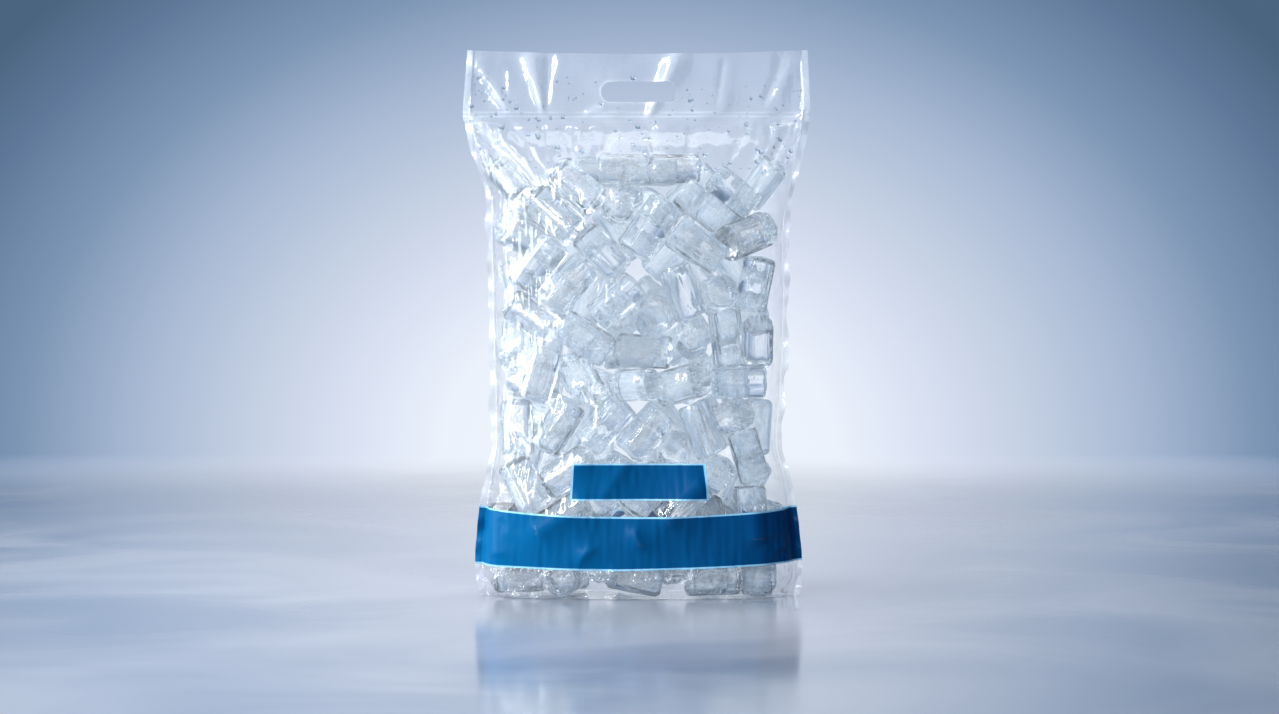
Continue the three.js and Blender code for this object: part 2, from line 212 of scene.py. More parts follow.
clear_ice = ice_finish("clear ice", 0.48, 0.01, 0.28)
# The milkier copy for the rear: its white is painted light that brightens the front pieces from behind.
milky_ice = ice_finish("ice painted milky to light the front", 0.40, 0.16, 0.60)

pieces_of_ice = sorted(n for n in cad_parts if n.startswith("ice_") and n != "ice_behind")
front_lies = [lie_of(n) for n in pieces_of_ice]
half_turn = np.array([-1.0, -1.0, 1.0])
rear_lies = [(m * half_turn, a * half_turn, r, h) for m, a, r, h in front_lies]
lies = front_lies + rear_lies

for number, (name, lie) in enumerate(zip(pieces_of_ice, front_lies)):
    points, attributes = cylinder_of_ice(*lie, 64, 42, number)
    made = add_mesh("clear_" + name, points, capsule_faces(42, 64), clear_ice, attributes)
    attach(made, "root")
    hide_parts(name)


def joined(name, shapes, rings, columns, finish):
    """One mesh of many closed shapes that all have the same rings and columns."""
    faces = [capsule_faces(rings, columns, i * (rings * columns + 2)) for i in range(len(shapes))]
    points = np.concatenate([s[0] for s in shapes])
    attributes = {key: np.concatenate([s[1][key] for s in shapes]) for key in shapes[0][1]}
    return add_mesh(name, points, [np.concatenate([f[k] for f in faces]) for k in (0, 1)], finish, attributes)


rear_shapes = [cylinder_of_ice(*lie, 40, 32, 100 + i) for i, lie in enumerate(rear_lies)]
rear = joined("clear_ice_behind", rear_shapes, 32, 40, milky_ice)
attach(rear, "root")
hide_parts("ice_behind")

# Each cylinder froze from its skin inwards, so the last of the water left a cloudy core of fine bubbles along the
# middle, thin in some cylinders and thick in others.


def cloudy_core(middle, axis, radius, half, seed):
    """A spindle along the axis. Its radius is a half sine along its length, varied by two waves round and along."""
    own = np.random.default_rng(seed)
    rings, columns = 20, 16
    t, turn = np.meshgrid(np.linspace(-0.97, 0.97, rings), np.arange(columns) / columns * 2 * math.pi, indexing="ij")
    phase = own.uniform(0, 6.28, 4)
    wide = radius * own.uniform(0.28, 0.56)
    r = wide * np.sqrt(1 - t ** 2) * (1 + 0.2 * np.cos(3 * turn + phase[0] + 4 * t) + 0.16 * np.cos(6 * t + phase[1]))
    h = t * half * own.uniform(0.7, 0.86) + own.uniform(-0.05, 0.05) * half
    across = np.cross(axis, [0.3, 0.5, 0.81])
    across = across / np.linalg.norm(across)
    other = np.cross(axis, across)
    x, y = r * np.cos(turn), r * np.sin(turn)
    points = middle + x[..., None] * across + y[..., None] * other + h[..., None] * axis
    poles = middle + np.outer([h[0, 0] * 1.02, h[-1, 0] * 1.02], axis)
    grain = np.concatenate([np.stack([x, y, h / 6], -1).reshape(-1, 3), np.zeros((2, 3))]) + seed * 0.53
    thick = np.full(len(grain), own.uniform(0.15, 1.0) ** 1.5)
    return np.concatenate([points.reshape(-1, 3), poles]), {"grain": grain, "thick": thick}


# Bubbly ice: white where the bubbles crowd and clear between the streaks of them.
cloud, out = material("cloudy ice core")
along = node(cloud, "Attribute", attribute_name="grain").outputs["Vector"]
thick = node(cloud, "Attribute", attribute_name="thick").outputs["Fac"]
trails = node(cloud, "TexNoise", {"Vector": along}, scale=420.0, detail=4.0, roughness=0.65).outputs["Fac"]
crowd = node(cloud, "MapRange", {"Value": trails}, from_min=0.40, from_max=0.72, to_min=0.03, to_max=0.85)
share = node(cloud, "Math", {0: crowd.outputs["Result"], 1: thick}, operation="MULTIPLY").outputs[0]
gone = node(cloud, "BsdfTransparent", color=(1, 1, 1, 1)).outputs[0]
lit = node(cloud, "BsdfPrincipled", base_color=linear("#fafdff"), roughness=0.7).outputs[0]
from_behind = node(cloud, "BsdfTranslucent", color=linear("#fafdff")).outputs[0]
white = node(cloud, "MixShader", {1: lit, 2: from_behind}, fac=0.5).outputs[0]
mixed = node(cloud, "MixShader", {0: share, 1: gone, 2: white}).outputs[0]
lamp = node(cloud, "LightPath").outputs["Is Shadow Ray"]
mixed = node(cloud, "MixShader", {0: lamp, 1: mixed, 2: gone}).outputs[0]
cloud.node_tree.links.new(mixed, out.inputs["Surface"])
cores = joined("cloudy_cores", [cloudy_core(*lie, 300 + i) for i, lie in enumerate(lies)], 20, 16, cloud)
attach(cores, "root")

# A few bubbles are trapped near the ends, 0.5 to 2 mm across. Air in ice refracts the other way, at 1 / 1.31.
air, out = material("air in ice")
fleck = node(air, "TexNoise", {"Vector": node(air, "TexCoord").outputs["Object"]}, scale=500.0).outputs["Fac"]
smooth = node(air, "MapRange", {"Value": fleck}, to_min=0.0, to_max=0.05).outputs["Result"]
air_shader = node(
    air, "BsdfPrincipled", {"Roughness": smooth}, base_color=(1, 1, 1, 1), ior=0.763, transmission_weight=1.0
)
lamp = node(air, "LightPath").outputs["Is Shadow Ray"]
through = node(air, "MixShader", {0: lamp, 1: air_shader.outputs[0], 2: node(air, "BsdfTransparent").outputs[0]})
air.node_tree.links.new(through.outputs[0], out.inputs["Surface"])


def bubble(lie):
    """A ball, a little longer along the cylinder, at a random place in it that is nearer an end than the middle."""
    middle, axis, radius, half = lie
    t, turn = np.meshgrid(np.linspace(-1, 1, 9)[1:-1] * math.pi / 2, np.arange(10) / 10 * 2 * math.pi, indexing="ij")
    across = np.cross(axis, [0.3, 0.5, 0.81])
    across = across / np.linalg.norm(across)
    other = np.cross(axis, across)
    size = 0.00025 + 0.0008 * random.random() ** 2.5
    end = random.choice([-1, 1]) * (1 - 0.45 * random.random() ** 1.4) * (half - 0.0035)
    way = random.uniform(0, 6.28)
    off = (radius - 0.0045) * math.sqrt(random.random()) * 0.95
    centre = middle + axis * end + (across * math.cos(way) + other * math.sin(way)) * off
    ring = (np.cos(t) * np.cos(turn))[..., None] * across + (np.cos(t) * np.sin(turn))[..., None] * other
    points = centre + size * (ring + 1.4 * np.sin(t)[..., None] * axis)
    return np.concatenate([points.reshape(-1, 3), centre + size * 1.4 * np.outer([-1, 1], axis)]), {}


bubbles = joined("bubbles", [bubble(lie) for lie in front_lies for _ in range(9)], 7, 10, air)
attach(bubbles, "root")


# ---------------------------------------------------------------- the film
# Two panels of clear blown polyethylene, drawn taut over the ice, welded face to face down both sides and across
# above the fill, and run on as a flat header with a die-cut hand hole. The film is 0.1 mm thick, so each panel is
# one skin. It bridges from one cylinder to the next and creases where the bag is pinched.

# height, reach to the left and to the right, and half depth, which is room for two layers of ice
OUTLINE = 0.001 * np.array([
    [0, 156, 162, 48], [14, 160, 165, 53], [38, 162, 166, 55], [90, 157, 160, 55], [120, 153, 155, 54],
    [150, 147, 146, 53], [200, 148, 151, 53], [300, 151, 155, 53], [365, 152, 153, 52], [398, 151, 159, 47],
    [422, 161, 163, 40], [445, 167, 168, 27], [465, 171, 172, 12], [480, 174, 174, 1.1], [545, 169, 171, 1.1],
])
WELD = 0.480  # the cross weld
TOP = 0.545
FIN = 0.007  # the side welds
ROWS, COLUMNS = 270, 168
SIDE_POWER, FACE_POWER = 3.2, 2.4


def waves(rows, columns, seed, detail=2.0):
    """Smooth random waves on the film's grid with wavelengths of about rows by columns millimetres.

    They are noise whose spectrum is a ring of those wavelengths, and their standard deviation is 1.
    """
    own = np.random.default_rng(seed).normal(size=(ROWS, COLUMNS))
    fr = np.fft.fftfreq(ROWS, TOP * 1000 / ROWS)[:, None] * rows
    fc = np.fft.fftfreq(COLUMNS, 390 / COLUMNS)[None, :] * columns
    ring = np.hypot(fr, fc)
    made = np.fft.ifft2(np.fft.fft2(own) * ring ** detail * np.exp(-detail * ring ** 2 / 2)).real
    return made / made.std()


def step(low, high, x):
    """0 below low, 1 above high and a smooth S between."""
    t = np.clip((x - low) / (high - low), 0, 1)
    return t * t * (3 - 2 * t)


def smoothed(values, width):
    """Gaussian smoothing of a profile by height, with the ends held."""
    kernel = np.exp(-0.5 * (np.arange(-3 * width, 3 * width + 1) / width) ** 2)
    padded = np.pad(values, 3 * width, mode="edge")
    return np.convolve(padded, kernel / kernel.sum(), "valid")


def distance_to_ice(points):
    """Distance from points to the nearest cylinder: for each, the rounded box distance in its radius and length."""
    nearest = np.full(len(points), 1.0)
    for middle, axis, radius, half in lies:
        off = points - middle
        along = off @ axis
        past_side = np.sqrt(np.maximum((off ** 2).sum(1) - along ** 2, 0)) - (radius - RIM)
        past_end = np.abs(along) - (half - RIM)
        outside = np.hypot(np.maximum(past_side, 0), np.maximum(past_end, 0))
        nearest = np.minimum(nearest, outside + np.minimum(np.maximum(past_side, past_end), 0) - RIM)
    return nearest


# Rows are 2.2 mm apart, and half a millimetre apart at the weld.
rise = np.concatenate([
    np.linspace(0, 0.472, 214, endpoint=False),
    np.linspace(0.472, 0.487, 26, endpoint=False),
    np.linspace(0.487, TOP, 30),
])
left, right, half_depth = (smoothed(np.interp(rise, OUTLINE[:, 0], OUTLINE[:, i]), 4) for i in (1, 2, 3))
half_depth = np.maximum(half_depth * step(WELD + 0.006, WELD - 0.03, rise), 0.0009)

# Columns are even steps along the skin at mid height: a few on each fin and the rest round the filled part.
fin_columns = 5
turn = np.linspace(0, math.pi, 2000)
dense_x = -np.cos(turn)
dense_y = (1 - np.abs(dense_x) ** SIDE_POWER) ** (1 / FACE_POWER)
length = np.concatenate([[0], np.cumsum(np.hypot(np.diff(dense_x) * 0.147, np.diff(dense_y) * 0.053))])
even = np.linspace(0, length[-1], COLUMNS - 2 * fin_columns)
across = np.interp(even, length, dense_x)
bulge = np.interp(even, length, dense_y)
bulge[[0, -1]] = 0
fin = np.linspace(1, 0, fin_columns, endpoint=False)
fin_share = np.concatenate([-fin, np.zeros(len(across)), fin[::-1]])
across = np.concatenate([np.full(fin_columns, -1.0), across, np.full(fin_columns, 1.0)])
bulge = np.concatenate([np.zeros(fin_columns), bulge, np.zeros(fin_columns)])

# The two panels move together where they are welded: the header waves and sags, and the fins are crinkled.
reach = np.where(across < 0, left[:, None], right[:, None])
beside_fill = (step(0.09, 0.13, rise) * step(0.47, 0.43, rise))[:, None]
drawn_in = 0.0020 * (1 + np.clip(waves(44, 60, 6)[:, [0, 90]] * 0.6, -1, 1)) * beside_fill
flat_x = across * (reach - FIN) + fin_share * (FIN - np.where(across < 0, drawn_in[:, :1], drawn_in[:, 1:]))
height = np.broadcast_to(rise[:, None], flat_x.shape)
in_header = step(WELD - 0.03, WELD + 0.004, height)
header_wave = 0.0009 * waves(110, 80, 3) + 0.00012 * waves(50, 20, 4)
edge = np.clip(1 - (np.abs(flat_x) - (reach - FIN)) / FIN, 0, 1)
fin_wave = (1 - edge) * 0.0022 * waves(26, 60, 5)[:, :1]


def ridge(start, end, wide, high):
    """A crease in the film between two points, each across and up.

    It is a bell across the crease, with a fading at both ends, and its width goes evenly from one end's to the
    other's.
    """
    (x0, z0), (x1, z1) = start, end
    run = math.hypot(x1 - x0, z1 - z0)
    t = ((flat_x - x0) * (x1 - x0) + (height - z0) * (z1 - z0)) / run ** 2
    off = ((flat_x - x0) * (z1 - z0) - (height - z0) * (x1 - x0)) / run
    width = wide[0] + np.clip(t, 0, 1) * (wide[1] - wide[0])
    return high * np.exp(-((off / width) ** 2)) * step(-0.15, 0.2, t) * step(1.15, 0.8, t)


folds = (
    ridge((-0.110, 0.545), (-0.092, 0.484), (0.011, 0.003), -0.0035)
    + ridge((-0.086, 0.545), (-0.091, 0.484), (0.006, 0.002), 0.0025)
    + ridge((-0.165, 0.540), (-0.128, 0.486), (0.007, 0.003), -0.0028)
    + ridge((-0.133, 0.530), (-0.131, 0.500), (0.003, 0.002), 0.0012)
    + ridge((0.046, 0.548), (0.012, 0.484), (0.013, 0.004), -0.0045)
    + ridge((-0.030, 0.494), (-0.052, 0.484), (0.005, 0.003), -0.0014)
    + ridge((0.088, 0.540), (0.080, 0.488), (0.004, 0.003), 0.0016)
    + ridge((0.150, 0.545), (0.128, 0.492), (0.010, 0.004), 0.0026)
)
shared_y = (header_wave + folds) * in_header + fin_wave * (1 - in_header)
sag = -0.004 * in_header * (1 - (flat_x / 0.174) ** 2)


# Folds drawn from the cross weld down to the top of the ice, as depths into the bag, for each panel.
drawn = {
    -1: ridge((-0.168, 0.480), (-0.102, 0.408), (0.009, 0.004), 0.0090)
    + ridge((-0.128, 0.478), (-0.090, 0.420), (0.005, 0.003), 0.0022)
    + ridge((-0.075, 0.476), (-0.060, 0.438), (0.008, 0.004), 0.0035)
    + ridge((-0.022, 0.478), (-0.034, 0.432), (0.009, 0.005), 0.0040)
    + ridge((0.012, 0.478), (0.020, 0.440), (0.006, 0.003), 0.0035)
    + ridge((0.060, 0.476), (0.050, 0.436), (0.007, 0.004), 0.0030)
    + ridge((0.155, 0.478), (0.118, 0.400), (0.009, 0.004), 0.0050)
    + ridge((0.110, 0.476), (0.096, 0.440), (0.006, 0.003), 0.0025),
    1: ridge((0.150, 0.478), (0.105, 0.400), (0.009, 0.004), 0.0050)
    + ridge((-0.150, 0.478), (-0.112, 0.400), (0.009, 0.004), 0.0050)
    + ridge((0.030, 0.476), (0.020, 0.434), (0.008, 0.004), 0.0035)
    + ridge((-0.055, 0.476), (-0.050, 0.436), (0.007, 0.004), 0.0030),
}


def panel(side, seed):
    """Points of a panel. From the even outline, each point goes inwards until it meets ice.

    Then the skin is relaxed: a point moves to its neighbours' average and a little inwards, but never into the ice.
    Creases are added last.
    """
    x = flat_x
    y = side * (np.maximum(half_depth[:, None] - 0.0009, 0) * bulge + 0.0004)
    skin = np.stack([x, y, height], -1)
    d_row = np.gradient(skin, axis=0)
    d_column = np.gradient(skin, axis=1)
    inwards = np.cross(d_row, d_column)
    inwards = inwards / np.maximum(np.linalg.norm(inwards, axis=2, keepdims=True), 1e-9)
    inwards = inwards * -side
    filled = (np.abs(fin_share) == 0) & (height < WELD - 0.006)
    inner = skin[filled]
    way = inwards[filled]
    gone = np.zeros(len(inner))
    for _ in range(14):
        gone = gone + np.clip(distance_to_ice(inner + way * gone[:, None]) - 0.0002, -0.002, 0.02)
        gone = np.clip(gone, 0, 0.03)
    room = np.zeros(skin.shape[:2])
    room[filled] = np.maximum(gone, 0)
    slack = np.minimum(room, 0.006)
    pull = 1.1e-5 * step(0.0, 0.03, height) * step(WELD, WELD - 0.05, height) + 3e-6
    for _ in range(700):
        mean = slack.copy()
        mean[1:-1, 1:-1] = (slack[2:, 1:-1] + slack[:-2, 1:-1] + slack[1:-1, 2:] + slack[1:-1, :-2]) / 4
        slack = np.clip(np.minimum(mean + pull, room), 0, 0.012)
    neck = step(0.40, 0.44, height) * step(WELD + 0.002, WELD - 0.012, height)
    foot = step(0.034, 0.012, height) * step(0, 0.004, height)
    side_zone = step(0.55, 0.97, np.abs(across))[None, :] * np.ones_like(height)
    crease = 0.00022 * waves(60, 9, seed) * (1 - in_header) * (1 - neck)
    crease = crease + 0.0007 * side_zone * np.abs(waves(30, 60, seed + 1)) * (1 - in_header) * (1 - neck)
    crease = crease + 0.0010 * neck * np.abs(waves(90, 22, seed + 2))
    crease = crease + 0.0022 * foot * np.abs(waves(12, 22, seed + 3))
    crease = crease + drawn[side]
    crease = crease * (edge >= 1) * np.minimum(np.minimum(bulge * 4, 1)[None, :], 1)
    skin = skin + inwards * (np.minimum(slack + crease, np.maximum(room - 0.0002, 0)) * (edge >= 1))[..., None]
    skin[..., 1] += shared_y
    skin[..., 2] += sag
    return skin


def grid_faces(rows, columns, keep=None):
    """Quads between neighbouring points of a grid, less those that keep leaves out."""
    r, c = np.meshgrid(np.arange(rows - 1), np.arange(columns - 1), indexing="ij")
    quads = np.stack([r * columns + c, r * columns + c + 1, (r + 1) * columns + c + 1, (r + 1) * columns + c], -1)
    return quads.reshape(-1, 4) if keep is None else quads[keep]


# The hand hole: a slot with round ends, cut through both panels. Quads inside it go, and the points round its
# edge are moved onto it.
HOLE_LENGTH, HOLE_HEIGHT, HOLE_X, HOLE_Z = 0.075, 0.020, 0.002, 0.503


def slot_distance(x, z):
    """Distance out of the slot's edge, and the nearest point on the line through its middle."""
    on_line = np.clip(x - HOLE_X, HOLE_HEIGHT / 2 - HOLE_LENGTH / 2, HOLE_LENGTH / 2 - HOLE_HEIGHT / 2) + HOLE_X
    return np.hypot(x - on_line, z - HOLE_Z) - HOLE_HEIGHT / 2, on_line


def cut_hole(skin):
    """Moves the points next to the slot's edge onto it, and says which quads are outside it."""
    off, on_line = slot_distance(skin[..., 0], skin[..., 2])
    outside = off > 0
    keep = outside[:-1, :-1] | outside[1:, :-1] | outside[:-1, 1:] | outside[1:, 1:]
    quad_count = np.zeros(off.shape)
    quad_count[:-1, :-1] += keep
    quad_count[1:, :-1] += keep
    quad_count[:-1, 1:] += keep
    quad_count[1:, 1:] += keep
    edge_point = (quad_count > 0) & ~outside
    share = (HOLE_HEIGHT / 2) / np.maximum(off + HOLE_HEIGHT / 2, 1e-5)
    x = np.where(edge_point, on_line + (skin[..., 0] - on_line) * share, skin[..., 0])
    z = np.where(edge_point, HOLE_Z + (skin[..., 2] - HOLE_Z) * share, skin[..., 2])
    return np.stack([x, skin[..., 1], z], -1), keep


# Clear blown polyethylene: glossy, finely crumpled, and with a faint milky haze that is stronger in the weld and
# along the folds. Along the folds its white is also a painted highlight.
clear_film, out = material("clear polyethylene film")
where = node(clear_film, "TexCoord").outputs["Object"]
haze_and_fold_highlight = node(clear_film, "Attribute", attribute_name="haze_and_fold_highlight").outputs["Fac"]
clouds = node(clear_film, "TexNoise", {"Vector": where}, scale=22.0, detail=4.0).outputs["Fac"]
milky = node(clear_film, "Math", {0: haze_and_fold_highlight, 1: clouds}, operation="MULTIPLY").outputs[0]
rough = node(clear_film, "MapRange", {"Value": clouds}, from_min=0.35, from_max=0.7, to_min=0.06, to_max=0.16)
fine = node(clear_film, "TexNoise", {"Vector": where}, scale=160.0, detail=3.0).outputs["Fac"]
crumpled = node(clear_film, "Attribute", attribute_name="crumple").outputs["Fac"]
crumples = node(clear_film, "TexNoise", {"Vector": where}, scale=75.0, detail=2.0, distortion=1.3).outputs["Fac"]
crumples = node(clear_film, "Math", {0: crumples, 1: crumpled}, operation="MULTIPLY").outputs[0]
fine = node(clear_film, "MapRange", {"Value": fine}, to_min=0.0, to_max=0.04).outputs["Result"]
relief = node(clear_film, "Math", {0: crumples, 1: fine}, operation="ADD").outputs[0]
bump = node(clear_film, "Bump", {"Height": relief}, strength=0.5, distance=0.004).outputs["Normal"]
clear = node(clear_film, "BsdfTransparent", color=(0.985, 0.99, 1.0, 1.0))
milk = node(clear_film, "BsdfPrincipled", {"Normal": bump}, base_color=linear("#eef4fb"), roughness=0.35)
gloss = node(clear_film, "BsdfGlossy", {"Roughness": rough.outputs["Result"], "Normal": bump}, color=(1, 1, 1, 1))
# Both faces of the film mirror alike: 0.05 head on, rising by the fourth power of the facing to 0.9 at a graze.
grazing = node(clear_film, "LayerWeight", {"Normal": bump}, blend=0.5).outputs["Facing"]
grazing = node(clear_film, "Math", {0: grazing, 1: grazing}, operation="MULTIPLY").outputs[0]
grazing = node(clear_film, "Math", {0: grazing, 1: grazing}, operation="MULTIPLY").outputs[0]
mirror = node(clear_film, "MapRange", {"Value": grazing}, to_min=0.05, to_max=0.9).outputs["Result"]
body = node(clear_film, "MixShader", {0: milky, 1: clear.outputs[0], 2: milk.outputs[0]})
skin_shader = node(clear_film, "MixShader", {0: mirror, 1: body.outputs[0], 2: gloss.outputs[0]})
clear_film.node_tree.links.new(skin_shader.outputs[0], out.inputs["Surface"])

# The haze is a share of each point's surface: more in the two lines of the weld, in the fins, at the foot, round the
# hand hole and along the folds. Along the folds it is a painted highlight of the folds as well as haze.
above_weld = height + sag - WELD
weld_lines = np.exp(-(((above_weld + 0.0015) / 0.0009) ** 2)) + np.exp(-(((above_weld - 0.0025) / 0.0009) ** 2))
at_foot = step(0.036, 0.026, height)
slot_rim, _ = slot_distance(flat_x, height + sag)
haze_and_fold_highlight_field = 0.04 + 0.02 * in_header + 0.06 * step(0.425, 0.47, height) + 0.3 * weld_lines
haze_and_fold_highlight_field = haze_and_fold_highlight_field + 0.3 * (edge < 1) + 0.1 * at_foot + 0.35 * np.exp(-((slot_rim / 0.0016) ** 2))
# Along the front's drawn folds and the header's folds, the white is a painted highlight as well as the film's haze.
haze_and_fold_highlight_field = haze_and_fold_highlight_field + np.clip(drawn[-1], 0, 0.009) / 0.009 * 0.5
haze_and_fold_highlight_field = haze_and_fold_highlight_field + np.clip(np.abs(folds), 0, 0.003) / 0.003 * 0.3 * in_header
crumple_field = 0.12 + 2.2 * at_foot + 0.05 * step(0.40, 0.44, height)
crumple_field = crumple_field + 0.5 * step(0.80, 1.0, np.abs(across))[None, :]
skins = {}
for side, seed, name, stands_for in ((-1, 40, "film_front", "front_film"), (1, 60, "film_back", "back_film")):
    skin, keep = cut_hole(panel(side, seed))
    skins[name] = skin
    faces = grid_faces(ROWS, COLUMNS, keep)
    if side > 0:
        faces = faces[:, ::-1]
    made = add_mesh(name, skin.reshape(-1, 3), [faces], clear_film, {"haze_and_fold_highlight": haze_and_fold_highlight_field, "crumple": crumple_field})
    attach(made, "root")
    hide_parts(stands_for)

# ---------------------------------------------------------------- the gusset
# The bag stands on a flat gusset of the same film, welded to both panels' lower edges and slightly creased.


def gusset():
    """A disc whose rim is the panels' lower edges.

    From the middle outwards each point goes to the rim by an even share, and it is raised by small creases that grow
    towards the rim.
    """
    front, back = skins["film_front"][0], skins["film_back"][0][::-1]
    rim = np.concatenate([front, back[1:-1]])
    shares = np.linspace(0, 1, 40)[1:, None, None]
    points = rim[None] * shares
    angle = np.arctan2(rim[:, 1] / 0.05, rim[:, 0] / 0.16)
    waviness = np.cos(angle * 23) + np.cos(angle * 37 + 1)
    points[..., 2] = 0.0002 + 0.0004 * shares[..., 0] ** 3 * (1 + 0.4 * waviness)
    return points


points = gusset()
rings, around = points.shape[:2]
ring, column = np.meshgrid(np.arange(rings - 1), np.arange(around), indexing="ij")
after = (column + 1) % around
inner_row, outer_row = ring * around, (ring + 1) * around
quads = np.stack([inner_row + column, outer_row + column, outer_row + after, inner_row + after], -1).reshape(-1, 4)
column = np.arange(around)
middle_faces = np.stack([np.full(around, rings * around), column, (column + 1) % around], -1)
points = np.concatenate([points.reshape(-1, 3), [[0, 0, 0.0002]]])
gusset_finish = {"haze_and_fold_highlight": np.full(len(points), 0.1), "crumple": np.full(len(points), 0.5)}
made = add_mesh("film_gusset", points, [quads[:, ::-1], middle_faces[:, ::-1]], clear_film, gusset_finish)
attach(made, "root")
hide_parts("base_film")

# ---------------------------------------------------------------- the print
# Flexographic ink on the outside of the film: a blue band round the foot with a pale cyan line along each edge, and
# above it, on the front, a blue label with a thin pale border. Both are bare of lettering.


def printed(name, skin, low, high, first, last, finish, side=-1, lift=0.00012):
    """A strip of ink on the skin between two heights, given for each column, and two columns.

    Its rows are even steps from low to high, found on the skin's rows by linear interpolation, and it stands off by
    lift.
    """
    columns = np.arange(first, last)
    steps = 24 if np.max(high - low) > 0.01 else 3
    z = low[columns] + (high - low)[columns] * np.linspace(0, 1, steps)[:, None]
    place = np.interp(z, rise, np.arange(ROWS))
    row = np.clip(np.floor(place).astype(int), 0, ROWS - 2)
    share = (place - row)[..., None]
    d_row = np.gradient(skin, axis=0)
    d_column = np.gradient(skin, axis=1)
    out_way = np.cross(d_row, d_column) * side
    out_way = out_way / np.maximum(np.linalg.norm(out_way, axis=2, keepdims=True), 1e-9)
    lifted = skin + out_way * lift
    points = lifted[row, columns] * (1 - share) + lifted[row + 1, columns] * share
    faces = grid_faces(steps, len(columns))
    if side > 0:
        faces = faces[:, ::-1]
    made = add_mesh(name, points.reshape(-1, 3), [faces], finish)
    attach(made, "root")
    return made


# Blue flexographic ink: opaque, satin and a little uneven where it was laid down. Its blue is painted paler towards
# the left and deeper towards the right, a painted fall of light from the left, on the band and the label alike.
blue_ink, out = material("blue flexographic ink")
where = node(blue_ink, "TexCoord").outputs["Object"]
uneven = node(blue_ink, "TexNoise", {"Vector": where}, scale=18.0, detail=5.0).outputs["Fac"]
# Painted light: the blue goes from pale at the left to deep at the right, as light falling from the left would make
# it.
side_to_side = node(blue_ink, "SeparateXYZ", {"Vector": where}).outputs["X"]
painted_light_from_left = node(
    blue_ink, "MapRange", {"Value": side_to_side}, from_min=-0.16, from_max=0.16, to_min=0.78, to_max=0.06
)
patches = node(blue_ink, "MapRange", {"Value": uneven}, from_min=0.3, from_max=0.7, to_min=-0.1, to_max=0.1)
both = {0: painted_light_from_left.outputs["Result"], 1: patches.outputs["Result"]}
tone = node(blue_ink, "Math", both, operation="ADD").outputs[0]
blue = node(blue_ink, "ValToRGB", {"Fac": tone})
blue.color_ramp.elements[0].color = linear("#01386a")
blue.color_ramp.elements[1].color = linear("#006295")
blue_shader = node(
    blue_ink, "BsdfPrincipled", {"Base Color": blue.outputs["Color"]},
    roughness=0.3, ior=1.5, specular_ior_level=0.05,
)
blue_ink.node_tree.links.new(blue_shader.outputs[0], out.inputs["Surface"])

# Pale cyan ink, thinner than the blue.
cyan_ink, out = material("pale cyan flexographic ink")
where = node(cyan_ink, "TexCoord").outputs["Object"]
uneven = node(cyan_ink, "TexNoise", {"Vector": where}, scale=60.0, detail=3.0).outputs["Fac"]
cyan = node(cyan_ink, "ValToRGB", {"Fac": uneven})
cyan.color_ramp.elements[0].color = linear("#6fb9e2")
cyan.color_ramp.elements[1].color = linear("#9fd6f0")
cyan_shader = node(cyan_ink, "BsdfPrincipled", {"Base Color": cyan.outputs["Color"]}, roughness=0.3, ior=1.5)
cyan_ink.node_tree.links.new(cyan_shader.outputs[0], out.inputs["Surface"])

LINE = 0.0017
for name, side in (("film_front", -1), ("film_back", 1)):
    skin = skins[name]
    mid_x = skin[np.searchsorted(rise, 0.06), :, 0]
    low = 0.031 + 0.004 * (mid_x / 0.16) ** 2 + 0.0015 * mid_x / 0.16
    high = 0.080 + 0.008 * (mid_x / 0.16) ** 2
    where_from = name.split("_")[1]
    printed("print_band_" + where_from, skin, low, high, 0, COLUMNS, blue_ink, side)
    low_line = printed("print_line_low_" + where_from, skin, low - LINE, low, 0, COLUMNS, cyan_ink, side)
    high_line = printed("print_line_high_" + where_from, skin, high, high + LINE, 0, COLUMNS, cyan_ink, side)

skin = skins["film_front"]
label_x = skin[np.searchsorted(rise, 0.116), :, 0]
first, last = np.searchsorted(label_x, [-0.062, 0.068])
flat_row = np.zeros(COLUMNS)
label = printed("print_label", skin, flat_row + 0.0995, flat_row + 0.1325, first, last, blue_ink, lift=0.00018)
border = (flat_row + 0.098, flat_row + 0.134, first - 1, last + 1)
printed("print_label_border", skin, *border, cyan_ink, lift=0.0001)

# ---------------------------------------------------------------- the water
# Meltwater beaded on the film above the ice, in lens-shaped drops from 1 to 6 mm across.

water, out = material("water")
where = node(water, "TexCoord").outputs["Object"]
ripple = node(water, "TexNoise", {"Vector": where}, scale=400.0).outputs["Fac"]
bump = node(water, "Bump", {"Height": ripple}, strength=0.05, distance=0.0003).outputs["Normal"]
water_shader = node(
    water, "BsdfPrincipled", {"Normal": bump},
    base_color=linear("#e4eef6"), roughness=0.0, ior=1.33, transmission_weight=1.0,
)
lamp = node(water, "LightPath").outputs["Is Shadow Ray"]
lets_by = node(water, "BsdfTransparent", color=(0.95, 0.97, 1.0, 1.0))
through = node(water, "MixShader", {0: lamp, 1: water_shader.outputs[0], 2: lets_by.outputs[0]})
water.node_tree.links.new(through.outputs[0], out.inputs["Surface"])


